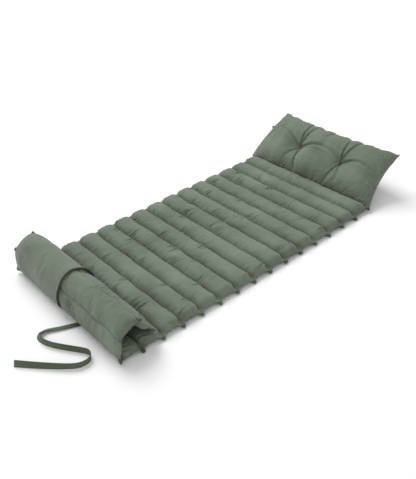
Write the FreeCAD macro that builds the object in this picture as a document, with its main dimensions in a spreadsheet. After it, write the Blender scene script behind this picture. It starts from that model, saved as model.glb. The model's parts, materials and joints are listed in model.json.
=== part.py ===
"""Roll-up futon mattress: quilted channels joined at their seams, a tufted pillow and a tie.

Row frame, millimetres: X runs across the mattress, +Y towards the pillow, +Z up. The origin is on
the floor under the middle of the object. Channels are numbered from the foot end: 01 to 03 are
curled up into a roll on top of 04 and 05, and 04 to 18 lie flat.
"""
import FreeCAD, Part
import math
import os

import Sketcher

Vector = FreeCAD.Vector
ACROSS = Vector(1, 0, 0)
UP = Vector(0, 0, 1)

# Driving dimensions: sheet alias, value in millimetres or degrees, what it is.
DIMENSIONS = [
    ("mattress_width", 700.0, "width of every channel"),
    ("channel_pitch", 86.2, "from one quilting seam to the next"),
    ("seam_margin", 4.0, "flat web from the seam line to where the filling starts"),
    ("hinge_gap", 0.5, "half the gap between two webs at a seam line"),
    ("web_half", 0.4, "half the thickness of the two fabrics stitched together"),
    ("crown_up", 26.0, "rise of a channel above its seams"),
    ("crown_down", 18.0, "depth of a flat channel below its seams"),
    ("rest_width", 44.0, "flat strip on which a channel rests"),
    ("roll_crown", 24.0, "rise of a curled channel outside its seams"),
    ("roll_hollow_crown", 20.0, "rise of a channel inside its seams, towards the roll's hollow"),
    ("cover_wall", 1.2, "fabric thickness"),
    ("fill_gap", 0.3, "clearance between filling and fabric"),
    ("wall_at_tip", 6.0, "from the lens tip of a cover to the lens tip of its cavity"),
    ("front_angle", 83.3, "direction of channel 03, from +Y towards +Z"),
    ("top_angle", 25.3, "direction of channel 02"),
    ("back_angle", -58.0, "direction of channel 01"),
    ("end_hem_length", 24.0, "unfilled hem at the foot end"),
    ("end_hem_half", 1.0, "half the thickness of that hem"),
    ("panel_width", 338.0, "width of the holding panel round the roll"),
    ("panel_edge", 12.0, "from the middle of the mattress to the panel's hemmed edge"),
    ("panel_wall", 1.0, "thickness of the holding panel"),
    ("panel_gap", 0.5, "clearance between the panel and the channel under it"),
    ("panel_margin", 1.5, "from the seam line to the edge of a panel piece"),
    ("panel_lift", 1.0, "clearance between the panel and the seam web"),
    ("pillow_width", 676.0, "width of the pillow"),
    ("pillow_front", 6.0, "from the pillow seam line to the pillow's front edge"),
    ("pillow_rise", 2.0, "height of the front edge above the seam line"),
    ("pillow_back_y", 224.0, "from the seam line back to the rear edge"),
    ("pillow_back_z", 169.0, "from the seam line up to the rear edge"),
    ("pillow_top_y", 77.0, "crown of the upper side, from the seam line"),
    ("pillow_top_z", 135.0, "crown of the upper side, above the seam line"),
    ("pillow_belly_y", 228.0, "rear bulge, from the seam line"),
    ("pillow_belly_z", 66.0, "rear bulge, above the seam line"),
    ("pillow_rest_front", 42.0, "where the flat underside starts"),
    ("pillow_rest_back", 166.0, "where the flat underside ends"),
    ("pillow_wall", 1.4, "fabric thickness of the pillow"),
    ("pillow_inset", 3.5, "from the cover's corner points to the cavity's"),
    ("tuft_spacing", 234.0, "between the two tufts"),
    ("tuft_along", 126.0, "from the pillow seam up the pillow to the tufts"),
    ("tuft_radius", 1.5, "radius of a tuft's bundle of thread"),
    ("tuft_low", -70.0, "lower end of a tuft, from the pillow's middle plane"),
    ("tuft_high", 20.0, "upper end of a tuft, from the pillow's middle plane"),
    ("tab_length", 11.0, "length of the blank side tab"),
    ("tab_width", 12.0, "width of the blank side tab"),
    ("tab_thickness", 0.9, "thickness of the blank side tab"),
    ("tab_along", 180.0, "from the pillow seam up the pillow's side to the tab"),
    ("ribbon_width", 25.0, "width of the tie, which stands on its edge"),
    ("ribbon_thickness", 1.2, "thickness of the tie"),
    ("ribbon_lift", 0.3, "height of the tie's lower edge above the floor"),
]
VALUES = {alias: value for alias, value, _ in DIMENSIONS}

CURLED = 3
FLAT = 15
CHANNELS = CURLED + FLAT
PANEL_NAMES = {3: "roll_panel_front", 2: "roll_panel_top", 1: "roll_panel_back"}

# Points of the tie's route on the floor, from under the roll to its hemmed end.
RIBBON_ROUTE = [
    (73, -10), (59, -40), (43, -71), (26, -101), (34, -133), (72, -137), (112, -123), (156, -96),
    (198, -67), (236, -44), (265, -63), (264, -102), (238, -135), (196, -175), (146, -219), (103, -254),
]
ARC_SHARE = 0.45  # share of the shorter run that a bend of the tie may use

# A flat channel's underside passes a shoulder between its tip and its rest strip.
SHOULDER_ALONG = 0.3  # share of that distance, measured from the tip
SHOULDER_DOWN = 0.7  # share of the channel's depth

# The pillow's cavity keeps its wall where the upper side slopes.
CROWN_SHIFT_Y = 0.6  # share of the wall by which the cavity's crown moves back
CROWN_SHIFT_Z = 0.8  # share of the wall by which it drops
FRONT_INSETS = 2  # the cavity's sharp front corner is drawn in by this many insets
FIT_GAPS = 2  # gaps by which a filling's tips stay inside its cavity's


class Size:
    """A length together with the sheet expression that drives it."""

    def __init__(self, value, text):
        self.value = value
        self.text = text

    def __add__(self, other):
        return Size(self.value + other.value, f"({self.text} + {other.text})")

    def __sub__(self, other):
        return Size(self.value - other.value, f"({self.text} - {other.text})")

    def __mul__(self, factor):
        return Size(self.value * factor, f"({self.text} * {factor})")

    def __neg__(self):
        return self * -1


def size(alias):
    """The driving dimension with this alias."""
    return Size(VALUES[alias], f"sizes.{alias}")


ZERO = Size(0.0, "0")


def make_sheet(doc):
    """Put the driving dimensions into a spreadsheet, one row each."""
    sheet = doc.addObject("Spreadsheet::Sheet", "sizes")
    for row, (alias, value, note) in enumerate(DIMENSIONS, start=1):
        sheet.set(f"A{row}", note)
        sheet.set(f"B{row}", str(value))
        sheet.setAlias(f"B{row}", alias)
    doc.recompute()
    return sheet


def circle_through(first, middle, last):
    """An arc through three points, counter-clockwise, and whether first is its start."""
    arc = Part.Arc(first, middle, last).toShape().Curve
    start = math.atan2(first.y - arc.Center.y, first.x - arc.Center.x)
    end = math.atan2(last.y - arc.Center.y, last.x - arc.Center.x)
    turn = (middle - first).cross(last - middle).z
    circle = Part.Circle(arc.Center, UP, arc.Radius)
    if turn > 0:
        return Part.ArcOfCircle(circle, start, end), True
    return Part.ArcOfCircle(circle, end, start), False


def outline(body, name, corners):
    """A closed, fully dimensioned outline on the body's YZ plane.

    Each corner is (y, z), or (y, z, through_y, through_z) where an arc leads to the next corner.
    """
    plane = next(f for f in body.Origin.OriginFeatures if f.Role == "YZ_Plane")
    sketch = body.newObject("Sketcher::SketchObject", name)
    sketch.AttachmentSupport = (plane, [""])
    sketch.MapMode = "FlatFace"

    def fix(geometry, vertex, point, label):
        for kind, coordinate in zip(("DistanceX", "DistanceY"), point):
            number = sketch.addConstraint(
                Sketcher.Constraint(kind, -1, 1, geometry, vertex, coordinate.value)
            )
            sketch.renameConstraint(number, f"{label}_{kind[-1]}")
            sketch.setExpression(f".Constraints.{label}_{kind[-1]}", coordinate.text)

    ends = []
    for index, corner in enumerate(corners):
        following = corners[(index + 1) % len(corners)]
        first = Vector(corner[0].value, corner[1].value, 0)
        last = Vector(following[0].value, following[1].value, 0)
        if len(corner) == 2:
            edge = sketch.addGeometry(Part.LineSegment(first, last), False)
            ends.append((edge, 1, 2))
            continue
        middle = Vector(corner[2].value, corner[3].value, 0)
        arc, forward = circle_through(first, middle, last)
        edge = sketch.addGeometry(arc, False)
        ends.append((edge, 1, 2) if forward else (edge, 2, 1))
        point = sketch.addGeometry(Part.Point(middle), True)
        sketch.addConstraint(Sketcher.Constraint("PointOnObject", point, 1, edge))
        fix(point, 1, corner[2:], f"through_{index}")
    for index, (edge, start, end) in enumerate(ends):
        next_edge, next_start, _ = ends[(index + 1) % len(ends)]
        sketch.addConstraint(Sketcher.Constraint("Coincident", edge, end, next_edge, next_start))
        fix(edge, start, corners[index][:2], f"corner_{index}")
    return sketch


def extrude(doc, name, corners, width, cavity=None, wall=None):
    """A body made by padding an outline both ways across, with a sealed cavity if one is given."""
    body = doc.addObject("PartDesign::Body", name)
    body.Label = name
    pad = body.newObject("PartDesign::Pad", "Pad")
    pad.Profile = outline(body, "Outline", corners)
    pad.SideType = "Symmetric"
    pad.setExpression("Length", width.text)
    body.Tip = pad
    if cavity:
        pocket = body.newObject("PartDesign::Pocket", "Cavity")
        pocket.Profile = outline(body, "CavityOutline", cavity)
        pocket.SideType = "Symmetric"
        pocket.setExpression("Length", (width - wall * 2).text)
        body.Tip = pocket
    return body


def shoulder(half, down, rest):
    """Where the underside of a flat channel passes between its tip and its rest strip."""
    return half - (half - rest) * SHOULDER_ALONG, -down * SHOULDER_DOWN


def lens(half, up, down, rest=None):
    """A lens between two tips, flat underneath where rest gives half the flat strip."""
    if rest is None:
        return [(-half, ZERO, ZERO, up), (half, ZERO, ZERO, -down)]
    along, depth = shoulder(half, down, rest)
    return [
        (-half, ZERO, ZERO, up),
        (half, ZERO, along, depth),
        (rest, -down),
        (-rest, -down, -along, depth),
    ]


def webbed_lens(half, edge, web, up, down, rest=None):
    """The lens of a cover, with the flat webs that reach out to its two seam lines."""
    if rest is None:
        under = [(half, -web, ZERO, -down)]
    else:
        along, depth = shoulder(half, down, rest)
        under = [(half, -web, along, depth), (rest, -down), (-rest, -down, -along, depth)]
    return (
        [(-edge, -web), (-edge, web), (-half, web, ZERO, up), (half, web), (edge, web), (edge, -web)]
        + under
        + [(-half, -web)]
    )


def channel_name(number):
    """A channel's name, which its cover's and its filling's names start with."""
    return f"channel_{number:02d}"


def make_channel(doc, number):
    """The cover and the filling of one quilted channel, about the middle of its seam plane."""
    half = size("channel_pitch") * 0.5 - size("seam_margin")
    edge = size("channel_pitch") * 0.5 - size("hinge_gap")
    up = size("roll_hollow_crown") if number <= CURLED + 1 else size("crown_up")
    wall = size("cover_wall")
    gap = size("fill_gap")
    width = size("mattress_width")
    if number <= CURLED:
        down, rest, inner_rest = size("roll_crown"), None, None
    else:
        down, rest = size("crown_down"), size("rest_width") * 0.5
        inner_rest = rest - wall * 2
    inner_half = half - size("wall_at_tip")
    fill_half = inner_half - gap * FIT_GAPS
    fill_rest = inner_rest and inner_rest - gap
    name = channel_name(number)
    cover = extrude(
        doc,
        f"{name}_cover",
        webbed_lens(half, edge, size("web_half"), up, down, rest),
        width,
        lens(inner_half, up - wall, down - wall, inner_rest),
        wall,
    )
    filling = extrude(
        doc,
        f"{name}_filling",
        lens(fill_half, up - wall - gap, down - wall - gap, fill_rest),
        width - (wall + gap) * 2,
    )
    return [cover, filling]


def make_panel(doc, number):
    """One piece of the holding panel, wrapped round the outside of a curled channel."""
    edge = size("channel_pitch") * 0.5 - size("panel_margin")
    near = size("panel_lift")
    crown = size("roll_crown") + size("panel_gap")
    far = size("panel_wall")
    band = [
        (-edge, -near, ZERO, -crown),
        (edge, -near),
        (edge, -near - far, ZERO, -crown - far),
        (-edge, -near - far),
    ]
    return extrude(doc, PANEL_NAMES[number], band, size("panel_width"))


def make_end_hem(doc):
    """The flat hem that closes the foot end, beyond the last seam of channel 01."""
    start = -(size("channel_pitch") * 0.5 + size("hinge_gap"))
    end = start - size("end_hem_length")
    half = size("end_hem_half")
    return extrude(
        doc,
        "foot_end_hem",
        [(start, -half), (start, half), (end, half), (end, -half)],
        size("mattress_width"),
    )


def pillow_outline(inset, wall):
    """The pillow's side view from its seam line, with its corners drawn in by an inset."""
    floor = wall - size("crown_down")
    front = size("pillow_front") + inset * FRONT_INSETS
    rise = size("pillow_rise")
    back_y = size("pillow_back_y") - inset
    back_z = size("pillow_back_z") - inset
    crown_y = size("pillow_top_y") + wall * CROWN_SHIFT_Y
    crown_z = size("pillow_top_z") - wall * CROWN_SHIFT_Z
    return [
        (front, rise, crown_y, crown_z),
        (back_y, back_z, size("pillow_belly_y") - wall, size("pillow_belly_z")),
        (size("pillow_rest_back") - wall, floor),
        (size("pillow_rest_front") + wall, floor),
    ]


def pillow_slope():
    """The pillow's tilt in degrees: the direction from its seam line to its rear edge."""
    return math.degrees(math.atan2(VALUES["pillow_back_z"], VALUES["pillow_back_y"]))


def on_pillow(across, along, above):
    """A placement on the pillow's tilted middle plane, measured from its seam line."""
    tilt = FreeCAD.Rotation(ACROSS, pillow_slope())
    return FreeCAD.Placement(tilt.multVec(Vector(across, along, above)), tilt)


def make_tufts(doc, name, oversize):
    """Two bundles of thread through the pillow, or with an oversize their holes in the filling."""
    bundles = []
    for side in (-1, 1):
        bundle = doc.addObject("Part::Cylinder", f"{name}_{'left' if side < 0 else 'right'}")
        bundle.setExpression("Radius", f"sizes.tuft_radius + {oversize}")
        bundle.setExpression("Height", f"sizes.tuft_high - sizes.tuft_low + {2 * oversize}")
        bundle.Placement = on_pillow(
            side * VALUES["tuft_spacing"] / 2, VALUES["tuft_along"], VALUES["tuft_low"] - oversize
        )
        bundles.append(bundle)
    pair = doc.addObject("Part::Compound", name)
    pair.Links = bundles
    pair.Label = name
    return pair


def make_pillow(doc, seam):
    """Cover, filling, tufts and blank side tab of the pillow, with its seam line at seam."""
    wall = size("pillow_wall")
    gap = size("fill_gap")
    inset = size("pillow_inset")
    width = size("pillow_width")
    cover = extrude(
        doc, "pillow_cover", pillow_outline(ZERO, ZERO), width, pillow_outline(inset, wall), wall
    )
    blank = extrude(
        doc,
        "pillow_filling_blank",
        pillow_outline(inset + gap * FIT_GAPS, wall + gap),
        width - (wall + gap) * 2,
    )
    filling = doc.addObject("Part::Cut", "pillow_filling")
    filling.Base = blank
    filling.Tool = make_tufts(doc, "tuft_holes", VALUES["fill_gap"])
    filling.Label = "pillow_filling"
    tufts = make_tufts(doc, "pillow_tufts", 0.0)
    tab = doc.addObject("Part::Box", "pillow_side_tab")
    tab.Label = "pillow_side_tab"
    tab.setExpression("Length", "sizes.tab_length")
    tab.setExpression("Width", "sizes.tab_width")
    tab.setExpression("Height", "sizes.tab_thickness")
    left_side = -VALUES["pillow_width"] / 2 - VALUES["hinge_gap"] - VALUES["tab_length"]
    tab.Placement = on_pillow(left_side, VALUES["tab_along"], 0)
    pieces = [cover, filling, tufts, tab]
    for piece in pieces:
        piece.Placement = FreeCAD.Placement(seam, FreeCAD.Rotation()).multiply(piece.Placement)
    return pieces


def rounded_path(points):
    """Straight runs joined by tangent arcs, and each arc's radius."""
    edges, radii = [], []
    start = points[0]
    for before, corner, after in zip(points, points[1:], points[2:]):
        into = corner - before
        out = after - corner
        half_turn = into.getAngle(out) / 2
        cut = ARC_SHARE * min(into.Length, out.Length)
        radius = cut / math.tan(half_turn)
        into.normalize()
        out.normalize()
        arc_start = corner - into * cut
        arc_end = corner + out * cut
        bisector = out - into
        bisector.normalize()
        centre = corner + bisector * (radius / math.cos(half_turn))
        middle = centre - bisector * radius
        edges.append(Part.LineSegment(start, arc_start).toShape())
        edges.append(Part.Arc(arc_start, middle, arc_end).toShape())
        radii.append(radius)
        start = arc_end
    edges.append(Part.LineSegment(start, points[-1]).toShape())
    return Part.Wire(edges), radii


def make_ribbon(doc):
    """The flat tie, standing on its edge along its route on the floor."""
    width = VALUES["ribbon_width"]
    thickness = VALUES["ribbon_thickness"]
    middle = VALUES["ribbon_lift"] + width / 2
    path, radii = rounded_path([Vector(x, y, middle) for x, y in RIBBON_ROUTE])
    along = path.Edges[0].tangentAt(path.Edges[0].FirstParameter)
    side = along.cross(UP) * (thickness / 2)
    rise = UP * (width / 2)
    start = Vector(RIBBON_ROUTE[0][0], RIBBON_ROUTE[0][1], middle)
    corners = [start - side - rise, start + side - rise, start + side + rise, start - side + rise]
    section = Part.makePolygon(corners + corners[:1])
    ribbon = doc.addObject("Part::Feature", "ribbon_tie")
    ribbon.Shape = path.makePipeShell([section], True, False)
    ribbon.Label = "ribbon_tie"
    expected = width * thickness * path.Length
    share = ribbon.Shape.Volume / expected
    print(f"tie: length {path.Length:.1f} mm, volume {share:.4f} of section x length")
    print("tie: bend radii " + " ".join(f"{radius:.0f}" for radius in radii))
    return ribbon


def seam_lines():
    """The point (y, z) of every seam line: seam 0 is the foot end, seam n the head side of channel n."""
    pitch = VALUES["channel_pitch"]
    flat = [(index * pitch, VALUES["crown_down"]) for index in range(FLAT + 1)]
    curled = []
    y, z = flat[0]
    for alias in ("front_angle", "top_angle", "back_angle"):
        angle = math.radians(VALUES[alias])
        y += pitch * math.cos(angle)
        z += pitch * math.sin(angle)
        curled.insert(0, (y, z))
    return curled + flat


def channel_placement(lines, number, middle_y):
    """Where a channel lies: its middle, and its turn about X from lying flat."""
    (foot_y, foot_z), (head_y, head_z) = lines[number - 1], lines[number]
    turn = math.degrees(math.atan2(head_z - foot_z, head_y - foot_y))
    middle = Vector(0, (foot_y + head_y) / 2 - middle_y, (foot_z + head_z) / 2)
    return FreeCAD.Placement(middle, FreeCAD.Rotation(ACROSS, turn))


def object_middle(doc, pieces):
    """Half way along Y between the ends of the object, without the tie."""
    doc.recompute()
    boxes = [piece.Shape.BoundBox for piece in pieces]
    return (min(box.YMin for box in boxes) + max(box.YMax for box in boxes)) / 2


def main():
    doc = FreeCAD.newDocument("futon_mattress")
    make_sheet(doc)
    lines = seam_lines()
    pieces = []
    for number in range(1, CHANNELS + 1):
        parts = make_channel(doc, number)
        if number == 1:
            parts.append(make_end_hem(doc))
        for piece in parts:
            piece.Placement = channel_placement(lines, number, 0)
        if number in PANEL_NAMES:
            panel = make_panel(doc, number)
            shift = -(VALUES["panel_width"] / 2 + VALUES["panel_edge"])
            sideways = FreeCAD.Placement(Vector(shift, 0, 0), FreeCAD.Rotation())
            panel.Placement = sideways.multiply(channel_placement(lines, number, 0))
            parts.append(panel)
        pieces += parts
    head_y, head_z = lines[-1]
    pieces += make_pillow(doc, Vector(0, head_y, head_z))
    middle = object_middle(doc, pieces)
    pieces.append(make_ribbon(doc))
    for piece in pieces:
        back = FreeCAD.Placement(Vector(0, -middle, 0), FreeCAD.Rotation())
        piece.Placement = back.multiply(piece.Placement)
    doc.recompute()

    failed = [o.Name for o in doc.Objects if "Invalid" in o.State or "Error" in o.State]
    if failed:
        raise RuntimeError(f"failed objects: {failed}")
    os.makedirs("parts", exist_ok=True)
    for piece in pieces:
        if piece.Shape.isNull() or not piece.Shape.isValid():
            raise RuntimeError(f"bad shape: {piece.Label}")
        piece.Shape.exportStep(f"parts/{piece.Label}.step")
    print(f"{len(pieces)} nodes, middle of the object at y = {middle:.3f} from seam 3")
    for number, (y, z) in enumerate(lines):
        print(f"seam {number:2d}: y {y - middle:9.3f}  z {z:8.3f}")


main()
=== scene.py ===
"""Looks of the roll-up futon mattress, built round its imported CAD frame. Metres, row frame."""
import json
import math
import random

import bpy
import numpy as np
from mathutils import Matrix, Vector


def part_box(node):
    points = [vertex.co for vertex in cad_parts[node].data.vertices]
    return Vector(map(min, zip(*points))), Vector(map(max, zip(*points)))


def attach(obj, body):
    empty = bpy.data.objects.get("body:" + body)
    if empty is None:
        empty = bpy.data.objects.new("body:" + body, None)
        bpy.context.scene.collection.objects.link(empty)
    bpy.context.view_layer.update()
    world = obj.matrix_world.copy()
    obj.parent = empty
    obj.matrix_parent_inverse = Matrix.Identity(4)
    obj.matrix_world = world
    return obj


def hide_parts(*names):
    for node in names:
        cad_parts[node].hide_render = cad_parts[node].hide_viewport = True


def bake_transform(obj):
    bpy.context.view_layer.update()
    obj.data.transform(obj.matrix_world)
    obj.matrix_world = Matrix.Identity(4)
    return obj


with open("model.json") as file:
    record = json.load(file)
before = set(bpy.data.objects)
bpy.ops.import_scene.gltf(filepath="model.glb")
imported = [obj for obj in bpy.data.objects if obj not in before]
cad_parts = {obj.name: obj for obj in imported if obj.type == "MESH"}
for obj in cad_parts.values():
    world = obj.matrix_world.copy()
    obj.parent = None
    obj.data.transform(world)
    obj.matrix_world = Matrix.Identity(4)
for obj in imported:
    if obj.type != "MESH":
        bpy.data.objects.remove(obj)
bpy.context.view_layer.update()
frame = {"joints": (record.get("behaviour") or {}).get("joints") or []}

# ---------------------------------------------------------------- places taken from the frame
CHANNELS = 18
CURLED = 3
JOINT_OF_SEAM = {1: "foot_roll_back", 2: "foot_roll_top", 3: "foot_roll_front", 18: "pillow_fold"}
JOINTS = {joint["name"]: joint["pos_m"] for joint in frame["joints"]}
SEAMS = {
    k: JOINTS[JOINT_OF_SEAM.get(k, f"seam_{k:02d}")][1:] for k in range(1, CHANNELS + 1)
}
PITCH = math.dist(SEAMS[4], SEAMS[5])
BACK_ANGLE = math.radians(-58.0)  # direction of channel 01, from +Y towards +Z
SEAMS[0] = [
    SEAMS[1][0] + PITCH * math.cos(BACK_ANGLE),
    SEAMS[1][1] + PITCH * math.sin(BACK_ANGLE),
]
HALF_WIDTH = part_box("channel_11_cover")[1].x
FLOOR_GAP = 0.0004  # height of the lowest cloth above the floor

# ---------------------------------------------------------------- channels
COLUMNS = 250  # mesh columns across the mattress
ROWS = 18  # mesh rows from seam to seam, on each face
CROWN_UP = 0.0235  # fullness of a flat channel's top above its seams
CROWN_HOLLOW = 0.020  # the same in channel 04 under the roll, and inside the curled channels
CROWN_DOWN = 0.0178  # fullness of a flat channel's underside
CROWN_FULLNESS = (4.2, 0.58)  # power and edge of the top's section, steep beside the seams
UNDER_FULLNESS = (3.0, 0.6)
ROLL_FULLNESS = (2.6, 0.70)
ROLL_CROWNS = {1: 0.014, 2: 0.025, 3: 0.011}  # outward fullness of the curled channels
ROLL_SKEWS = {1: 0.0, 2: 0.12, 3: 0.45}  # how far the fullest part lies towards the foot seam
END_ROUND = 0.026  # length over which a channel's end closes
END_ROUND_ROLL = 0.045
END_SQUEEZE = 0.32  # share by which a channel narrows at its end, which opens a notch at each seam
END_REACH = 0.018  # length over which squeeze and gathers fade from a channel's end
END_GATHER_WAVES = 15  # angle that the gathers run through from the middle of a channel to its seam
COLUMN_CROWDING = 0.15  # how much closer the mesh columns lie near the ends
SEAM_SAG = 0.009  # how far the end of a seam hangs below its hinge line
SAG_REACH = 0.016  # length over which the sag fades
SIDE_LIP = 0.0035  # flat seam allowance that stands out along the side seam
LIP_HALF = 0.0007  # half its thickness
LIP_EDGE = 0.0008  # width over which the lip thins to its border
END_GATHER = 0.0022  # height of the gathers that run into the side seam
END_PULL = 0.007  # how far the side seam is pulled in half way along a channel
SEAM_WAVE = 0.0022  # sideways wander of a seam
SEAM_WAVELENGTH = 0.16

# ---------------------------------------------------------------- creases beside the seams
PINCH_SPAN = 0.33  # how far from the middle a group of creases may start
PINCH_LEAN = 0.022  # how far a crease may lean sideways from seam to seam
PINCH_LEAN_SPREAD = 0.005  # how much the creases of one group differ in lean
PINCH_STEP = (0.010, 0.016)  # distance between the creases of one group
PINCH_MEMBERS = (1, 2, 2, 3, 4)
PINCH_STRENGTH = (0.45, 1.0)
PINCH_WIDTH = (0.0026, 0.0042)
PINCH_DEPTH = (0.0065, 0.0105)
PINCH_REACH = (0.35, 0.95)  # share of half a channel over which a crease fades
PINCH_GROUPS = 6
PINCH_GROUPS_ROLL = 3
PINCH_RIM = 0.45  # height of the swelling on both sides of a crease, as a share of its depth
PINCH_RIM_PLACE = 1.9  # its distance from the crease, in widths of the crease
GATHER_HEIGHT = 0.0009
GATHER_WAVELENGTH = 0.031
SWELL_HEIGHT = 0.0016
SWELL_WAVELENGTH = 0.16

# ---------------------------------------------------------------- cloth simulation
SIM_FRAMES = 20
SIM_GROWTH = 0.038  # share by which the loose cloth is longer than the filled shape
PILLOW_SIM_GROWTH = 0.035
SIM_PRESSURE = 2.0
SIM_MASS = 0.20  # kg per vertex
SIM_STRETCH = 30  # resistance to stretching and to squeezing
SIM_BEND = 0.35
SIM_QUALITY = 3
SIM_START = 0.0004  # seeded unevenness from which the wrinkles start
SIM_CAP = 0.0065  # how far the simulation may move a point of a channel
PILLOW_SIM_CAP = 0.009

# ---------------------------------------------------------------- stitches and seam-end corners
STITCH_LENGTH = 0.0034
STITCH_GAP = 0.0012
STITCH_RADIUS = 0.00045
HEM_STITCH_RADIUS = 0.0004
STITCH_SIDES = 6
STITCH_RINGS = ((-0.5, 0.25), (-0.36, 1.0), (0.36, 1.0), (0.5, 0.25))  # place and swell
STITCH_INSET = 0.012  # from the mattress's side to the first stitch
STITCH_COLUMNS = 120
STITCH_RISE = 0.0008  # of the stitches above the seam line
# Each ring of a corner: distance outward, half length, half thickness, share of the droop. The last
# ring lies as far out as the corner's own reach.
CORNER_RINGS = (
    (-0.020, 0.0070, 0.0060, 0.0),
    (-0.008, 0.0125, 0.0100, 0.2),
    (0.0, 0.0115, 0.0090, 0.7),
    (None, 0.0080, 0.0060, 1.0),
)
CORNER_REACH = (0.0025, 0.0055)
CORNER_TWIST = 0.7
CORNER_DROOP = (0.001, 0.005)


def smooth_noise(values, seed, wavelength):
    """Smooth seeded noise along one coordinate, about -1 to 1."""
    draw = random.Random(seed)
    total = np.zeros_like(values)
    for octave in range(3):
        phase = draw.uniform(0, 2 * math.pi)
        stretch = draw.uniform(0.8, 1.25) * 1.7**octave
        total = total + np.sin(values * 2 * math.pi / wavelength * stretch + phase) / (octave + 1)
    return total / 1.8


def seam_offset(seam, x):
    """How far a seam wanders towards the head at each place across."""
    return SEAM_WAVE * smooth_noise(x, 900 + seam, SEAM_WAVELENGTH)


def seam_sag(x):
    """How far a flat seam hangs near its ends."""
    from_side = HALF_WIDTH - SIDE_LIP - np.abs(x)
    return SEAM_SAG * np.exp(-((np.maximum(from_side, 0) / SAG_REACH) ** 2))


def pinches(seed, count):
    """Seeded creases that start at a seam: place, lean, width, depth, reach and which seam."""
    draw = random.Random(seed)
    found = []
    for _ in range(count):
        place = draw.uniform(-PINCH_SPAN, PINCH_SPAN)
        seam_side = draw.choice((-1, 1))
        lean = draw.uniform(-PINCH_LEAN, PINCH_LEAN)
        strength = draw.uniform(*PINCH_STRENGTH)
        for member in range(draw.choice(PINCH_MEMBERS)):
            found.append(
                (
                    place + member * draw.uniform(*PINCH_STEP),
                    lean + draw.uniform(-PINCH_LEAN_SPREAD, PINCH_LEAN_SPREAD),
                    draw.uniform(*PINCH_WIDTH),
                    strength * draw.uniform(*PINCH_DEPTH),
                    draw.uniform(*PINCH_REACH),
                    seam_side,
                )
            )
    return found


def creased(x, t, seed, count=PINCH_GROUPS):
    """Height that the creases add to a face, for t from -1, foot seam, to 1, head seam."""
    height = np.zeros_like(x)
    for place, lean, width, depth, reach, side in pinches(seed, count):
        away = 1 - side * t
        offset = (x - place - lean * away) / width
        rim = PINCH_RIM * np.exp(-((np.abs(offset) - PINCH_RIM_PLACE) ** 2))
        valley = -np.exp(-(offset**2)) + rim
        height = height + depth * valley * np.exp(-((away / reach) ** 2)) * np.minimum(1, away * 4)
    gather = GATHER_HEIGHT * smooth_noise(x, seed + 50, GATHER_WAVELENGTH)
    gather = gather * np.clip(np.abs(t) - 0.25, 0, 1)
    swell = SWELL_HEIGHT * smooth_noise(x, seed + 80, SWELL_WAVELENGTH) * (1 - t**2)
    return height + gather + swell


def fullness(t, section=CROWN_FULLNESS):
    """Share of the crown at t."""
    power, edge = section
    return np.clip(1 - np.abs(t) ** power, 0, 1) ** edge


def roll_height(number, t):
    """Outward height of a curled channel at t."""
    return ROLL_CROWNS[number] * fullness(t + ROLL_SKEWS[number] * (1 - t**2), ROLL_FULLNESS)


def mesh_object(name, vertices, faces, uvs=None):
    """A smooth-shaded mesh in the scene, with a place on the cloth for each vertex if uvs are given."""
    mesh = bpy.data.meshes.new(name)
    mesh.from_pydata([tuple(v) for v in vertices], [], faces)
    if uvs is not None:
        layer = mesh.uv_layers.new(name="cloth")
        for loop in mesh.loops:
            layer.data[loop.index].uv = uvs[loop.vertex_index]
    mesh.polygons.foreach_set("use_smooth", [True] * len(mesh.polygons))
    mesh.update()
    made = bpy.data.objects.new(name, mesh)
    bpy.context.scene.collection.objects.link(made)
    return made


def coordinates(made):
    """The places of a mesh object's vertices."""
    return np.array([v.co for v in made.data.vertices], float)


def move_to(made, places):
    """Puts a mesh object's vertices at the given places."""
    made.data.vertices.foreach_set("co", places.ravel())
    made.data.update()


def lift_to_floor(made):
    """Lifts the vertices that a simulation pushed below the floor."""
    places = coordinates(made)
    places[:, 2] = np.maximum(places[:, 2], FLOOR_GAP)
    move_to(made, places)


def finish_piece(made, material, body, slot, *nodes):
    """Gives a piece its material, lets it ride on its body and stand for its CAD nodes. Its slot is not
    used.
    """
    made.data.materials.append(material)
    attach(made, body)
    if nodes:
        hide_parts(*nodes)


def joined_rings(base, rings, sides, turn=1):
    """Faces round a tube of rings of vertices, from vertex base on, wound back by a turn of -1."""
    faces = []
    for ring in range(rings - 1):
        for k in range(sides):
            a, b = base + ring * sides + k, base + ring * sides + (k + 1) % sides
            faces.append((a, b, b + sides, a + sides)[::turn])
    return faces


def closed_pad(upper, lower):
    """A closed mesh of two grids of points that share their border, and which points those are."""
    along, across = upper.shape[:2]
    rows, columns = along - 1, across - 1
    border = np.zeros((along, across), bool)
    border[0], border[-1], border[:, 0], border[:, -1] = True, True, True, True
    top = np.arange(along * across).reshape(along, across)
    bottom = top.copy()
    inside = np.flatnonzero(~border.ravel())
    bottom.ravel()[inside] = along * across + np.arange(len(inside))
    vertices = np.vstack([upper.reshape(-1, 3), lower.reshape(-1, 3)[inside]])
    faces = []
    for r in range(rows):
        for c in range(columns):
            a, b, d, e = (r, c), (r, c + 1), (r + 1, c + 1), (r + 1, c)
            faces.append([int(top[p]) for p in (a, b, d, e)])
            faces.append([int(bottom[p]) for p in (e, d, b, a)])
    return vertices, faces, border


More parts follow.
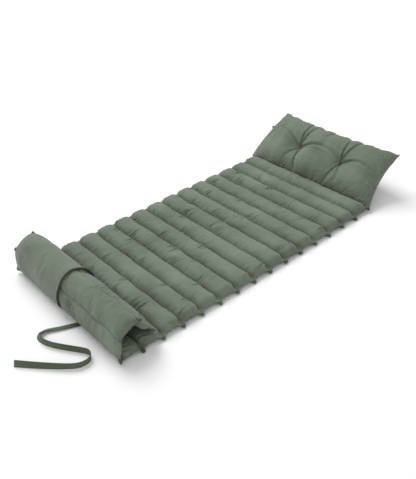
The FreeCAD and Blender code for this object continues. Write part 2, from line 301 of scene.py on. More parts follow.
def puff(made, pinned, cap, growth, seed):
    """Simulates cloth that is larger than the filled shape and wrinkles between its seams."""
    before = coordinates(made)
    uneven = np.random.default_rng(seed).normal(0, SIM_START, before.shape)
    uneven[pinned] = 0
    made.data.vertices.foreach_set("co", (before + uneven).ravel())
    group = made.vertex_groups.new(name="sewn")
    group.add([int(i) for i in pinned], 1.0, "REPLACE")
    cloth = made.modifiers.new("cloth", "CLOTH")
    settings = cloth.settings
    settings.vertex_group_mass = "sewn"
    settings.shrink_min = -growth
    settings.shrink_max = -growth
    settings.quality = SIM_QUALITY
    settings.mass = SIM_MASS
    settings.tension_stiffness = SIM_STRETCH
    settings.compression_stiffness = SIM_STRETCH
    settings.bending_stiffness = SIM_BEND
    settings.use_pressure = True
    settings.uniform_pressure_force = SIM_PRESSURE
    settings.effector_weights.gravity = 0
    cloth.collision_settings.use_collision = False
    cloth.collision_settings.use_self_collision = False
    cloth.point_cache.frame_end = SIM_FRAMES
    scene = bpy.context.scene
    for number in range(1, SIM_FRAMES + 1):
        scene.frame_set(number)
    shaped = made.evaluated_get(bpy.context.evaluated_depsgraph_get())
    after = np.array([v.co for v in shaped.data.vertices], float)
    made.modifiers.remove(cloth)
    made.vertex_groups.clear()
    scene.frame_set(1)
    step = after - before
    length = np.maximum(np.linalg.norm(step, axis=1), 1e-12)
    step *= (cap * np.tanh(length / cap) / length)[:, None]
    move_to(made, before + step)


def channel_axes(number):
    """Middle of a channel's seam plane, its direction to the head and its normal, as (y, z)."""
    foot, head = np.array(SEAMS[number - 1]), np.array(SEAMS[number])
    along = (head - foot) / np.linalg.norm(head - foot)
    return (foot + head) / 2, along, np.array([-along[1], along[0]])


def make_channel(number, cloth):
    """One quilted channel: a closed pad from seam line to seam line, creased and then puffed."""
    middle, along, normal = channel_axes(number)
    curled = number <= CURLED
    t = np.sin(np.linspace(-1, 1, ROWS + 1) * math.pi / 2)[:, None]
    share = np.linspace(-1, 1, COLUMNS + 1)[None, :]
    share = share * (1 + COLUMN_CROWDING - COLUMN_CROWDING * share**2)
    side = HALF_WIDTH - END_PULL * (1 - np.abs(t) ** 3)
    x = share * side
    from_side = side - np.abs(x) - SIDE_LIP
    close = np.clip(from_side / (END_ROUND_ROLL if curled else END_ROUND), 0, 1)
    end = np.sqrt(np.clip(1 - (1 - close) ** 2, 0, 1))
    rise = CROWN_UP if number > CURLED + 1 else CROWN_HOLLOW
    t_grid = np.broadcast_to(t, x.shape)
    squeeze = 1 - END_SQUEEZE * np.exp(-((from_side / END_REACH) ** 2))
    profile = fullness(np.clip(t_grid / squeeze, -1, 1))
    top = rise * profile * end + creased(x, t_grid, 10 * number) * end * profile
    if curled:
        folds = creased(x, t_grid, 10 * number + 5, PINCH_GROUPS_ROLL)
        under = roll_height(number, t_grid) * end + folds * end * fullness(t_grid, ROLL_FULLNESS)
    else:
        under = CROWN_DOWN * fullness(t_grid, UNDER_FULLNESS) * end
    gather = END_GATHER * np.cos(t_grid * END_GATHER_WAVES + number)
    gather = gather * np.exp(-((from_side / END_REACH) ** 2))
    top = top + gather * (0.5 + 0.5 * t_grid**2) * profile * (close > 0)
    lip = LIP_HALF * fullness(t_grid) * np.clip((side - np.abs(x)) / LIP_EDGE, 0, 1)
    top = np.maximum(top, lip)
    under = np.maximum(under, lip)
    fade = 0.5 + 0.5 * t
    wander = seam_offset(number - 1, x) * (1 - fade) + seam_offset(number, x) * fade
    s = t * PITCH / 2 + wander
    hangs = np.where(t < 0, number > CURLED + 1, CURLED < number < CHANNELS) * np.abs(t) ** 6
    sag = seam_sag(x) * hangs
    surfaces = []
    for n in (top - sag, -under - sag):
        y = middle[0] + s * along[0] + n * normal[0]
        z = middle[1] + s * along[1] + n * normal[1]
        surfaces.append(np.stack([x, y, z], axis=-1))
    vertices, faces, border = closed_pad(*surfaces)
    travel = (vertices[:, 1] - middle[0]) * along[0] + (vertices[:, 2] - middle[1]) * along[1]
    uvs = np.stack([vertices[:, 0], travel], axis=-1)
    made = mesh_object(f"channel_{number:02d}_cloth", vertices, faces, uvs)
    flat_lip = (from_side <= 0).ravel()
    inner = flat_lip[np.flatnonzero(~border.ravel())]
    sewn = np.concatenate([border.ravel() | flat_lip, inner])
    puff(made, np.flatnonzero(sewn), SIM_CAP, SIM_GROWTH, 60 + number)
    if not curled:
        lift_to_floor(made)
    name = f"channel_{number:02d}"
    finish_piece(made, cloth, name, "cover_cotton", f"{name}_cover", f"{name}_filling")


# ---------------------------------------------------------------- seam tabs and stitches
def make_seam_tabs(number, body, thread):
    """The two oversewn corners that stand out where a seam meets the side seams."""
    y, z = SEAMS[number]
    z -= SEAM_SAG if CURLED < number < CHANNELS else 0
    _, along, normal = channel_axes(max(1, number))
    vertices, faces = [], []
    for side in (-1, 1):
        base = len(vertices)
        draw = random.Random(400 + number * 2 + side)
        reach = draw.uniform(*CORNER_REACH)
        twist = draw.uniform(-CORNER_TWIST, CORNER_TWIST)
        droop = draw.uniform(*CORNER_DROOP)
        for out, half, thick, share in CORNER_RINGS:
            across = side * (HALF_WIDTH + (reach if out is None else out))
            for k in range(4):
                turn = twist + k * math.pi / 2
                s, n = half * math.cos(turn), thick * math.sin(turn) - share * droop
                height = max(z + s * along[1] + n * normal[1], FLOOR_GAP)
                vertices.append((across, y + s * along[0] + n * normal[0], height))
        last = len(vertices) - 4
        faces.append((base, base + 3, base + 2, base + 1)[::side])
        faces.append((last, last + 1, last + 2, last + 3)[::side])
        faces += joined_rings(base, len(CORNER_RINGS), 4, side)
    made = mesh_object(f"seam_tabs_{number:02d}", vertices, faces)
    rounding = made.modifiers.new("rounding", "SUBSURF")
    rounding.levels = rounding.render_levels = 2
    # The tabs take the dark thread colour. This is partly the real oversewn thread and partly painted
    # shade of the gathered notches at the seam ends.
    finish_piece(made, thread, body, "tuft_thread")


def stitch_row(points, up, radius):
    """Vertices and faces of short rounded stitches along a line of points."""
    length, gap, sides = STITCH_LENGTH, STITCH_GAP, STITCH_SIDES
    vertices, faces = [], []
    points = np.array(points, float)
    steps = np.linalg.norm(np.diff(points, axis=0), axis=1)
    travel = np.concatenate([[0], np.cumsum(steps)])
    for start in np.arange(gap, travel[-1] - length, length + gap):
        ends = [
            np.array([np.interp(start + share * length, travel, points[:, k]) for k in range(3)])
            for share in (0, 1)
        ]
        centre = (ends[0] + ends[1]) / 2
        along = (ends[1] - ends[0]) / np.linalg.norm(ends[1] - ends[0])
        side = np.cross(along, up)
        side = side / np.linalg.norm(side)
        over = np.cross(along, side)
        base = len(vertices)
        for place, swell in STITCH_RINGS:
            for k in range(sides):
                angle = k * math.pi * 2 / sides
                radial = side * math.cos(angle) + over * math.sin(angle)
                vertices.append(centre + along * place * length + radial * radius * swell)
        faces += joined_rings(base, len(STITCH_RINGS), sides)
        faces.append(tuple(range(base + sides - 1, base - 1, -1)))
        faces.append(tuple(range(len(vertices) - sides, len(vertices))))
    return vertices, faces


def make_seam_stitches(number, body, thread):
    """The row of stitches in a quilting seam, in the groove between two channels."""
    y, z = SEAMS[number]
    x = np.linspace(-HALF_WIDTH + STITCH_INSET, HALF_WIDTH - STITCH_INSET, STITCH_COLUMNS)
    line = np.stack([x, y + seam_offset(number, x), z + STITCH_RISE - seam_sag(x)], axis=-1)
    vertices, faces = stitch_row(line, np.array([0, 0, 1.0]), STITCH_RADIUS)
    made = mesh_object(f"seam_stitches_{number:02d}", vertices, faces)
    finish_piece(made, thread, body, "tuft_thread")


# ---------------------------------------------------------------- holding panel round the roll
PANEL_EDGE_X = -0.012  # place across of its hemmed edge
PANEL_FAR_X = -0.351  # place across of its far end, in the side seam
PANEL_COLUMNS = 70  # mesh columns up to the hem
HEM_COLUMNS = 30  # mesh columns across the last two hem widths
PANEL_STEPS = 150  # mesh rows along it, for all four pieces together
PANEL_SMOOTHING = 16  # times that its side view is averaged
PANEL_KNOTS = (0.62, 0.3, 0.0, -0.3, -0.62)  # places on each channel that its side view follows
PANEL_THICKNESS = 0.0011
PANEL_CLEAR = 0.0032  # from the channels' crowns to the panel
PANEL_FLOOR = 0.0016  # lowest height of its side view
PANEL_SHUT = 0.0030  # distance from the seam planes where its far end is closed
PANEL_INNER_DIP = -0.0015  # how far a ripple may press it towards the channels
PANEL_RIPPLES = 16
RIPPLE_HEIGHT = 0.0022
RIPPLE_WIDTH = 0.010
RIPPLE_LENGTH = (0.020, 0.055)
RIPPLE_ROW = 0.0018  # length of one mesh row, for the ripples' places
PANEL_CORNER = 0.006  # how far the panel passes outside a seam it goes round
PANEL_CLOSE = 0.050  # length over which its far end closes onto the seams
HEM_WIDTH = 0.018
HEM_RISE = 0.0034
HEM_STEP = 0.003  # width over which the hem rises
HEM_GROOVE = 0.0015  # depth of the groove along its inner stitches
HEM_GROOVE_WIDTH = 0.0026
HEM_FLARE = 0.0060  # how far the hemmed edge stands off the channels
HEM_FLARE_WIDTH = 0.06
HEM_TAPER = 0.022  # length over which hem and flare fade into the seams at both ends
HEM_STITCH_INSETS = (0.0020, 0.0160)  # from the edge to each row of stitches
HEM_STITCH_RISE = 0.0003
PANEL_PIECES = (
    # piece, bodies it follows, CAD node it stands for
    ("front", ("channel_03",), "roll_panel_front"),
    ("front_to_top", ("channel_03", "channel_02"), "roll_panel_top"),
    ("top_to_back", ("channel_02", "channel_01"), "roll_panel_back"),
    ("back", ("channel_01",), None),
)


def outside_point(number, t, depth):
    """A point (y, z) outside a curled channel, at depth beyond its seam plane."""
    middle, along, normal = channel_axes(number)
    point = middle + along * (t * PITCH / 2) - normal * depth
    return np.array([point[0], max(point[1], PANEL_FLOOR)])


def panel_line():
    """The panel's side view from the floor seam up over the roll, and each point's channel place."""

    def over_crown(number, t):
        return outside_point(number, t, roll_height(number, t) + PANEL_CLEAR)

    knots = [(3.47, outside_point(3, 0.94, 0.004))]
    for number in (3, 2, 1):
        for t in PANEL_KNOTS:
            knots.append((number + t / 2, over_crown(number, t)))
        if number > 1:
            corner = np.array(SEAMS[number - 1])
            chord = (knots[-1][1] + over_crown(number - 1, PANEL_KNOTS[0])) / 2
            out = -(channel_axes(number)[2] + channel_axes(number - 1)[2])
            out /= np.linalg.norm(out)
            reach = max(float(np.dot(chord - corner, out)), PANEL_CORNER)
            knots.append((number - 0.5, corner + out * reach))
    knots.append((0.53, outside_point(1, -0.94, 0.006)))
    return knots


def seam_polygon(places):
    """Points on the seam planes of the curled channels, just outside them, at the given places."""
    found = []
    for place in places:
        number = int(np.clip(round(place), 1, 3))
        found.append(outside_point(number, 2 * (place - number), PANEL_SHUT))
    return np.array(found)


def panel_points():
    """The panel's side view as smoothly spaced points, and the matching channel places."""
    knots = panel_line()
    travel = np.concatenate(
        [[0], np.cumsum([np.linalg.norm(b[1] - a[1]) for a, b in zip(knots, knots[1:])])]
    )
    fine = np.linspace(0, travel[-1], PANEL_STEPS + 1)
    places = np.interp(fine, travel, [k[0] for k in knots])
    raw = np.stack(
        [np.interp(fine, travel, [k[1][axis] for k in knots]) for axis in (0, 1)], axis=-1
    )
    for _ in range(PANEL_SMOOTHING):
        raw[1:-1] = raw[1:-1] * 0.5 + (raw[:-2] + raw[2:]) * 0.25
    return raw, places


def make_panel(cloth, thread):
    """The holding panel as four pieces of one sheet, split half way along each channel."""
    line, places = panel_points()
    step = np.gradient(line, axis=0)
    step /= np.linalg.norm(step, axis=1)[:, None]
    out = np.stack([-step[:, 1], step[:, 0]], axis=-1)
    hem_start = PANEL_EDGE_X - 2 * HEM_WIDTH
    x = np.concatenate(
        [
            np.linspace(PANEL_FAR_X, hem_start, PANEL_COLUMNS, endpoint=False),
            np.linspace(hem_start, PANEL_EDGE_X, HEM_COLUMNS + 1),
        ]
    )
    centre = np.array([np.mean([SEAMS[k][0] for k in range(4)]), 0.075])
    if np.mean(np.sum(out * (line - centre), axis=1)) < 0:
        out = -out
    ripple = np.zeros((len(line), len(x)))
    draw = random.Random(71)
    for _ in range(PANEL_RIPPLES):
        along, across = draw.uniform(0, len(line)), draw.uniform(PANEL_FAR_X, PANEL_EDGE_X)
        lean, size = draw.uniform(-0.5, 0.5), draw.uniform(*RIPPLE_LENGTH)
        rows = (np.arange(len(line))[:, None] - along) * RIPPLE_ROW
        local = (x[None, :] - across) + lean * rows
        height = draw.uniform(-RIPPLE_HEIGHT, RIPPLE_HEIGHT)
        ripple += height * np.exp(-((local / RIPPLE_WIDTH) ** 2)) * np.exp(-((rows / size) ** 2))
    hem = np.clip((x - (PANEL_EDGE_X - HEM_WIDTH)) / HEM_STEP, 0, 1)[None, :]
    beside = (x - (PANEL_EDGE_X - HEM_WIDTH - 0.001)) / HEM_GROOVE_WIDTH
    lift = HEM_RISE * hem - HEM_GROOVE * np.exp(-(beside**2))[None, :]
    flare = np.clip((x - (PANEL_EDGE_X - HEM_FLARE_WIDTH)) / HEM_FLARE_WIDTH, 0, 1)
    flare = HEM_FLARE * flare[None, :] ** 2
    travel = np.concatenate([[0], np.cumsum(np.linalg.norm(np.diff(line, axis=0), axis=1))])
    taper = np.clip(np.minimum(travel, travel[-1] - travel) / HEM_TAPER, 0, 1)[:, None]
    lift, flare = lift * taper, flare * taper
    ends = np.clip((x - PANEL_FAR_X) / PANEL_CLOSE, 0, 1)[None, :]
    close = np.sqrt(np.clip(1 - (1 - ends) ** 2, 0, 1))
    polygon = seam_polygon(places)
    surfaces = []
    for face in (PANEL_THICKNESS + lift, 0 * lift):
        offset = face + np.maximum(ripple, PANEL_INNER_DIP) * close + flare
        shut = face * (1 - close)
        y, z = (
            (line[:, k, None] + out[:, k, None] * offset) * close
            + polygon[:, k, None] * (1 - close)
            + out[:, k, None] * shut
            for k in (0, 1)
        )
        across = np.broadcast_to(x, y.shape)
        surfaces.append(np.stack([across, y, np.maximum(z, FLOOR_GAP)], axis=-1))
    outer, inner = surfaces
    cuts = [0, *[int(np.argmin(np.abs(places - k))) for k in (3, 2, 1)], len(line) - 1]
    for (name, bodies, node), first, last in zip(PANEL_PIECES, cuts, cuts[1:]):
        upper, lower = outer[first : last + 1], inner[first : last + 1]
        vertices, faces = closed_sheet(upper, lower)
        uvs = [(v[0], v[1] + v[2]) for v in vertices]
        made = mesh_object(f"panel_{name}", vertices, faces, uvs)
        made.data.materials.append(cloth)
        rise = out[first : last + 1].T * HEM_STITCH_RISE
        stitches = []
        for inset in HEM_STITCH_INSETS:
            column = int(np.argmin(np.abs(x - (PANEL_EDGE_X - inset))))
            row = upper[:, column] + np.stack([np.zeros(len(upper)), *rise], axis=-1)
            stitches.append((row, out[(first + last) // 2]))
        hem_thread = stitch_object(f"panel_{name}_stitches", stitches, thread)
        for piece in (made, hem_thread):
            if len(bodies) == 1:
                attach(piece, bodies[0])
            else:
                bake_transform(piece)
        if node:
            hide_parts(node)


def closed_sheet(upper, lower):
    """A closed thin sheet between two grids of the same shape."""
    rows, columns = upper.shape[0], upper.shape[1]
    count = rows * columns
    index = np.arange(count).reshape(rows, columns)
    vertices = np.vstack([upper.reshape(-1, 3), lower.reshape(-1, 3)])
    faces = []
    for r in range(rows - 1):
        for c in range(columns - 1):
            corners = (index[r, c], index[r, c + 1], index[r + 1, c + 1], index[r + 1, c])
            faces.append(tuple(int(v) for v in corners))
            faces.append(tuple(int(v + count) for v in corners[::-1]))
    loop = (
        [index[0, c] for c in range(columns)]
        + [index[r, -1] for r in range(1, rows)]
        + [index[-1, c] for c in range(columns - 2, -1, -1)]
        + [index[r, 0] for r in range(rows - 2, 0, -1)]
    )
    for a, b in zip(loop, loop[1:] + loop[:1]):
        faces.append((int(b), int(a), int(a + count), int(b + count)))
    return vertices, faces


def stitch_object(name, lines, thread):
    """One piece of several rows of stitches, each with the direction (y, z) that it faces."""
    vertices, faces = [], []
    for row, outward in lines:
        found, made = stitch_row(row, np.array([0, *outward]), HEM_STITCH_RADIUS)
        faces += [tuple(v + len(vertices) for v in f) for f in made]
        vertices += found
    made = mesh_object(name, vertices, faces)
    made.data.materials.append(thread)
    return made


# ---------------------------------------------------------------- pillow
PILLOW_RISE, PILLOW_RUN = 0.169, 0.224  # from its seam to its back edge, up and along the floor
PILLOW_TILT = math.atan2(PILLOW_RISE, PILLOW_RUN)
PILLOW_LENGTH = math.hypot(PILLOW_RISE, PILLOW_RUN)
PILLOW_FRONT = 0.0045  # from the hinge line to its front edge
PILLOW_FRONT_HALF = 0.350  # half its width at the front and at the back edge
PILLOW_BACK_HALF = 0.329
PILLOW_FAR_PULL = -0.008  # how far its sides pull in half way up, the far one outward
PILLOW_NEAR_PULL = 0.021
PILLOW_FAR_SPREAD = 0.012  # how far its far lower corner stands out past the seam
PILLOW_BACK_PULL = 0.016  # how far its back edge pulls in at the middle
PILLOW_SCALLOP = 0.0030  # height and length of the waves in its back edge
PILLOW_SCALLOP_WAVE = 0.085
PILLOW_TOP = 0.060  # fullness of its top above the plane of its edges
PILLOW_UNDER = 0.105
PILLOW_SIDES = (4.2, 0.60)  # power and edge of its section from side to side
PILLOW_ENDS = (3.2, 0.60)  # the same from front to back
PILLOW_UNDER_SIDES = (4.0, 0.8)
PILLOW_COLUMNS = 230
PILLOW_ROWS = 104
PILLOW_CROWDING = 0.93  # how much closer its mesh columns lie near the sides
PILLOW_WAVES = ((0.0022, 5, 0.17), (0.0018, 6, 0.15))  # height, seed and length, across and along
TUFTS = ((-0.117, 0.126), (0.117, 0.126))
TUFT_DEPTH = 0.050
TUFT_HOLES = ((0.22, 0.014, 2), (0.46, 0.060, 1.5))  # share of the depth, reach and power
TUFT_HELD = 0.007  # radius that the thread holds during the simulation
KNOT_RADIUS = 0.0036
KNOT_RIPPLE = 0.12
KNOT_MIDDLE = 0.0195  # height of its middle above the plane of the pillow's edges
KNOT_HALF = 0.0020  # half its thickness
KNOT_RINGS, KNOT_SIDES = 6, 12
CREASE_STEPS = 41


def crease(x, a, start, bend, end, width, depth):
    """A tapering valley from start to end along an arc by way of bend, in the pillow's own plane."""
    start, bend, end = np.array(start), np.array(bend), np.array(end)
    nearest = np.full(x.shape, np.inf)
    share = np.zeros(x.shape)
    for step in np.linspace(0, 1, CREASE_STEPS):
        point = start * (1 - step) ** 2 + 2 * bend * step * (1 - step) + end * step**2
        distance = np.hypot(x - point[0], a - point[1])
        closer = distance < nearest
        nearest = np.where(closer, distance, nearest)
        share = np.where(closer, step, share)
    span = width * (0.7 + 0.7 * share)
    valley = np.exp(-((nearest / span) ** 1.1)) - 0.22 * np.exp(-((nearest / span - 2.2) ** 2))
    return -depth * (1 - 0.72 * share) * valley


PILLOW_CREASES = [
    # tuft, bend and end of the crease, width, depth
    (0, (-0.138, 0.190), (-0.128, 0.262), 0.0036, 0.024),
    (0, (-0.112, 0.190), (-0.090, 0.262), 0.0032, 0.022),
    (0, (-0.190, 0.165), (-0.262, 0.190), 0.0046, 0.018),
    (0, (-0.150, 0.090), (-0.160, 0.050), 0.0044, 0.010),
    (0, (-0.108, 0.070), (-0.086, 0.012), 0.0034, 0.022),
    (0, (-0.020, 0.195), (0.100, 0.140), 0.0056, 0.018),
    (1, (0.108, 0.190), (0.100, 0.262), 0.0036, 0.022),
    (1, (0.136, 0.190), (0.150, 0.250), 0.0032, 0.021),
    (1, (0.104, 0.070), (0.090, 0.016), 0.0032, 0.019),
    (1, (0.140, 0.080), (0.150, 0.050), 0.0040, 0.010),
    (1, (0.190, 0.175), (0.262, 0.150), 0.0050, 0.016),
]


def pillow_places(a, n):
    """Row-frame places (y, z) of points given up the pillow's plane and out of it."""
    cosine, sine = math.cos(PILLOW_TILT), math.sin(PILLOW_TILT)
    return SEAMS[CHANNELS][0] + a * cosine - n * sine, SEAMS[CHANNELS][1] + a * sine + n * cosine


def up_pillow(places):
    """How far up the pillow's plane each place lies."""
    seam_y, seam_z = SEAMS[CHANNELS]
    rise = (places[:, 2] - seam_z) * math.sin(PILLOW_TILT)
    return (places[:, 1] - seam_y) * math.cos(PILLOW_TILT) + rise


def make_pillow(cloth):
    """The tufted pillow: a closed pad whose sides pull in, creased and then puffed."""
    span = math.pi / 2 * PILLOW_CROWDING
    share = np.sin(np.linspace(-1, 1, PILLOW_COLUMNS + 1) * math.pi / 2 * PILLOW_CROWDING)
    share = (share / math.sin(span))[None, :]
    rise = (0.5 - 0.5 * np.cos(np.linspace(0, 1, PILLOW_ROWS + 1) * math.pi))[:, None]
    half = PILLOW_FRONT_HALF + (PILLOW_BACK_HALF - PILLOW_FRONT_HALF) * rise
    pull = np.where(share < 0, PILLOW_FAR_PULL, PILLOW_NEAR_PULL)
    half = half - pull * 4 * rise * (1 - rise) * np.abs(share)
    half = half + PILLOW_FAR_SPREAD * (1 - rise) * (share < 0)
    x = share * half
    scallop = PILLOW_SCALLOP * smooth_noise(x, 17, PILLOW_SCALLOP_WAVE) * np.abs(rise) ** 6
    back = PILLOW_LENGTH - PILLOW_BACK_PULL * (1 - share**2) ** 0.8 * rise + scallop
    a = PILLOW_FRONT + (back - PILLOW_FRONT) * rise
    edge_a = fullness(2 * rise - 1, PILLOW_ENDS)
    puffed = fullness(share, PILLOW_SIDES) * edge_a
    top = PILLOW_TOP * puffed
    for tx, ta in TUFTS:
        distance = np.hypot(x - tx, a - ta)
        hole = sum(part * np.exp(-((distance / reach) ** power)) for part, reach, power in TUFT_HOLES)
        top = top - TUFT_DEPTH * hole
    for tuft, bend, end, width, depth in PILLOW_CREASES:
        top = top + crease(x, a, TUFTS[tuft], bend, end, width, depth) * puffed
    for along, (height, seed, wavelength) in zip((x, a), PILLOW_WAVES):
        top = top + height * smooth_noise(along, seed, wavelength) * puffed
    top = np.maximum(top, 0.0006 * (puffed > 0.001))
    belly = np.clip(rise * 1.05, 0, 1)
    under = PILLOW_UNDER * edge_a * fullness(share, PILLOW_UNDER_SIDES) * (0.65 + 0.35 * belly)
    surfaces = []
    for n in (top, -under):
        y, z = pillow_places(a, n)
        surfaces.append(np.stack([x, y, np.maximum(z, FLOOR_GAP)], axis=-1))
    vertices, faces, border = closed_pad(*surfaces)
    travel = up_pillow(vertices)
    made = mesh_object("pillow_cloth", vertices, faces, np.stack([vertices[:, 0], travel], axis=-1))
    held = np.zeros(len(vertices), bool)
    for tx, ta in TUFTS:
        held |= np.hypot(vertices[:, 0] - tx, travel - ta) < TUFT_HELD
    held[: border.size] |= border.ravel()
    puff(made, np.flatnonzero(held), PILLOW_SIM_CAP, PILLOW_SIM_GROWTH, 90)
    lift_to_floor(made)
    finish_piece(made, cloth, "pillow", "cover_cotton", "pillow_cover", "pillow_filling")


# ---------------------------------------------------------------- tie
TIE_WIDTH = 0.025
TIE_THICKNESS = 0.0012
TIE_FLAT_HEIGHT = 0.0010  # height of the tie's middle where it lies flat
TIE_MIDDLE = -0.7536  # seam 3 in the row frame
TIE_RESOLUTION = 12  # points between two control points
# Section across the width and the thickness, as shares of half of each, round from the inner edge.
TIE_SECTION = (
    (-1, -0.35), (-0.94, -1), (0, -1), (0.94, -1), (1, -0.35),
    (1, 0.35), (0.94, 1), (0, 1), (-0.94, 1), (-1, 0.35),
)
TIE_STITCH_PLACE = 0.80  # of each row of stitches, as a share of half the width
TIE_STITCH_RISE = 0.0001
# x and y from seam 3, and how far the tape leans: 0 on its edge, 1 flat on the floor.
TIE_ROUTE = [
    (0.081, 0.010, 0.98), (0.059, -0.040, 0.86), (0.043, -0.071, 0.80), (0.026, -0.101, 0.70),
    (0.034, -0.133, 0.30), (0.072, -0.137, 0.12), (0.112, -0.123, 0.10), (0.156, -0.096, 0.10),
    (0.198, -0.067, 0.10), (0.236, -0.044, 0.06), (0.265, -0.063, 0.0), (0.264, -0.102, 0.0),
    (0.238, -0.135, 0.05), (0.196, -0.175, 0.15), (0.146, -0.219, 0.25), (0.103, -0.254, 0.30),
]


def tie_path():
    """Points along the tie's NURBS spline."""
    curve = bpy.data.curves.new("tie_route", "CURVE")
    curve.dimensions = "3D"
    spline = curve.splines.new("NURBS")
    spline.points.add(len(TIE_ROUTE) - 1)
    for point, (x, y, lean) in zip(spline.points, TIE_ROUTE):
        upright = math.cos(lean * math.pi / 2)
        height = TIE_FLAT_HEIGHT + TIE_WIDTH / 2 * upright
        point.co = (x, y + TIE_MIDDLE, height, 1)
    spline.order_u = 3
    spline.use_endpoint_u = True
    spline.resolution_u = TIE_RESOLUTION
    helper = bpy.data.objects.new("tie_route", curve)
    bpy.context.scene.collection.objects.link(helper)
    bpy.context.view_layer.update()
    line = bpy.data.meshes.new_from_object(helper)
    points = [np.array(v.co) for v in line.vertices]
    bpy.data.objects.remove(helper)
    bpy.data.curves.remove(curve)
    bpy.data.meshes.remove(line)
    return np.array(points)


def make_tie(tape):
    """The flat tie as a mesh tube along its spline, leaning more or less as its height says."""
    points = tie_path()
    step = np.gradient(points, axis=0)
    step[:, 2] = 0
    step /= np.linalg.norm(step, axis=1)[:, None]
    upright = np.clip((points[:, 2] - TIE_FLAT_HEIGHT) / (TIE_WIDTH / 2), 0.0, 1.0)
    lean = np.sqrt(1 - upright**2)
    aside = np.stack([step[:, 1], -step[:, 0], np.zeros(len(step))], axis=-1)
    # The tape leans one way up to its highest place and the other way after it.
    turned = np.where(np.arange(len(points)) > np.argmax(points[:, 2]), 1.0, -1.0)
    across = aside * (lean * turned)[:, None] + np.array([0, 0, 1.0]) * upright[:, None]
    face = np.cross(step, across)
    vertices = []
    for point, w, f in zip(points, across, face):
        for u, v in TIE_SECTION:
            vertices.append(point + w * u * TIE_WIDTH / 2 + f * v * TIE_THICKNESS / 2)
    vertices = np.array(vertices)
    vertices[:, 2] = np.maximum(vertices[:, 2], FLOOR_GAP)
    count = len(TIE_SECTION)
    last = len(vertices) - count
    faces = joined_rings(0, len(points), count)
    for k in range(count // 2 - 1):
        cap = (k, k + 1, count - 2 - k, count - 1 - k)
        faces.append(cap[::-1])
        faces.append(tuple(last + corner for corner in cap))
    travel = np.concatenate([[0], np.cumsum(np.linalg.norm(np.diff(points, axis=0), axis=1))])
    uvs = [(u * TIE_WIDTH / 2, along) for along in travel for u, _ in TIE_SECTION]
    made = mesh_object("tie", vertices, faces, uvs)
    lines = []
    for u in (-TIE_STITCH_PLACE, TIE_STITCH_PLACE):
        for v in (-1, 1):
            aside = across * u * TIE_WIDTH / 2
            row = points + aside + face * v * (TIE_THICKNESS / 2 + TIE_STITCH_RISE)
            row[:, 2] = np.maximum(row[:, 2], FLOOR_GAP + 0.0003)
            lines.append((row, (0, 1)))
    edge_stitches = stitch_object("tie_stitches", lines, tape)
    finish_piece(made, tape, "channel_04", "tie_tape", "ribbon_tie")
    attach(edge_stitches, "channel_04")


# ---------------------------------------------------------------- materials
PATCHES = {"Scale": 7.0, "Detail": 5.0}  # faded patches, slubs and crumpling, per metre
SLUBS = {"Scale": 220.0, "Detail": 4.0}
CRUMPLE = {"Scale": 60.0, "Detail": 6.0, "Roughness": 0.6}
SLUB_SHARE = 0.30
WEAVE_SHARE = 0.22
DARKEST_PLACE = 0.38
THREAD_RELIEF = 0.0003
CRUMPLE_RELIEF = 0.0032
SHEEN = {"Specular IOR Level": 0.18, "Sheen Weight": 0.18, "Sheen Roughness": 0.55}


def set_inputs(node, values):
    """Sets a node's input sockets by name."""
    for socket, value in values.items():
        node.inputs[socket].default_value = value


def principled(name):
    """A new material, its node tree and its shader."""
    material = bpy.data.materials.new(name)
    material.use_nodes = True
    tree = material.node_tree
    return material, tree, next(n for n in tree.nodes if n.type == "BSDF_PRINCIPLED")


def woven(name, dark, light, thread_pitch, roughness, bump, crinkle):
    """A plain-weave cloth: crossed threads, slubs, faded patches and fine crumpling."""
    material, tree, shader = principled(name)
    nodes, links = tree.nodes, tree.links
    place = nodes.new("ShaderNodeTexCoord")

    def noise(values):
        made = nodes.new("ShaderNodeTexNoise")
        set_inputs(made, values)
        links.new(place.outputs["Object"], made.inputs["Vector"])
        return made.outputs["Fac"]

    def threads(direction):
        made = nodes.new("ShaderNodeTexWave")
        made.bands_direction = direction
        scale = 1 / (thread_pitch * 20) * math.pi * 2
        set_inputs(made, {"Scale": scale, "Distortion": 1.2, "Detail": 1.0})
        links.new(place.outputs["UV"], made.inputs["Vector"])
        return made.outputs["Fac"]

    def maths(operation, first, second, third=None):
        made = nodes.new("ShaderNodeMath")
        made.operation = operation
        for socket, value in zip(made.inputs, (first, second, third)):
            if isinstance(value, float):
                socket.default_value = value
            elif value is not None:
                links.new(value, socket)
        return made.outputs[0]

    def relief(height, strength, distance):
        made = nodes.new("ShaderNodeBump")
        set_inputs(made, {"Strength": strength, "Distance": distance})
        links.new(height, made.inputs["Height"])
        return made

    weave = maths("MULTIPLY", threads("X"), threads("Y"))
    patchy = maths("MULTIPLY_ADD", noise(SLUBS), SLUB_SHARE, noise(PATCHES))
    ramp = nodes.new("ShaderNodeValToRGB")
    ramp.color_ramp.elements[0].position = DARKEST_PLACE
    ramp.color_ramp.elements[0].color = (*dark, 1)
    ramp.color_ramp.elements[1].color = (*light, 1)
    links.new(maths("MULTIPLY_ADD", weave, WEAVE_SHARE, patchy), ramp.inputs["Fac"])
    links.new(ramp.outputs["Color"], shader.inputs["Base Color"])
    fine = relief(weave, bump, THREAD_RELIEF)
    coarse = relief(noise(CRUMPLE), crinkle, CRUMPLE_RELIEF)
    links.new(fine.outputs["Normal"], coarse.inputs["Normal"])
    links.new(coarse.outputs["Normal"], shader.inputs["Normal"])
    set_inputs(shader, {"Roughness": roughness, **SHEEN})
    return material


# ---------------------------------------------------------------- stage, light and camera
FLOOR_SIZE = 14.0  # half its side
FLOOR = {"Base Color": (0.95, 0.95, 0.95, 1), "Roughness": 0.9, "Specular IOR Level": 0.1}
KEY = {"place": (-4.4, 0.6, 5.8), "size": 4.6, "power": 350}
FILL = {"place": (2.4, -2.6, 2.4), "size": 3.0, "power": 10}
WORLD_STRENGTH = 0.66


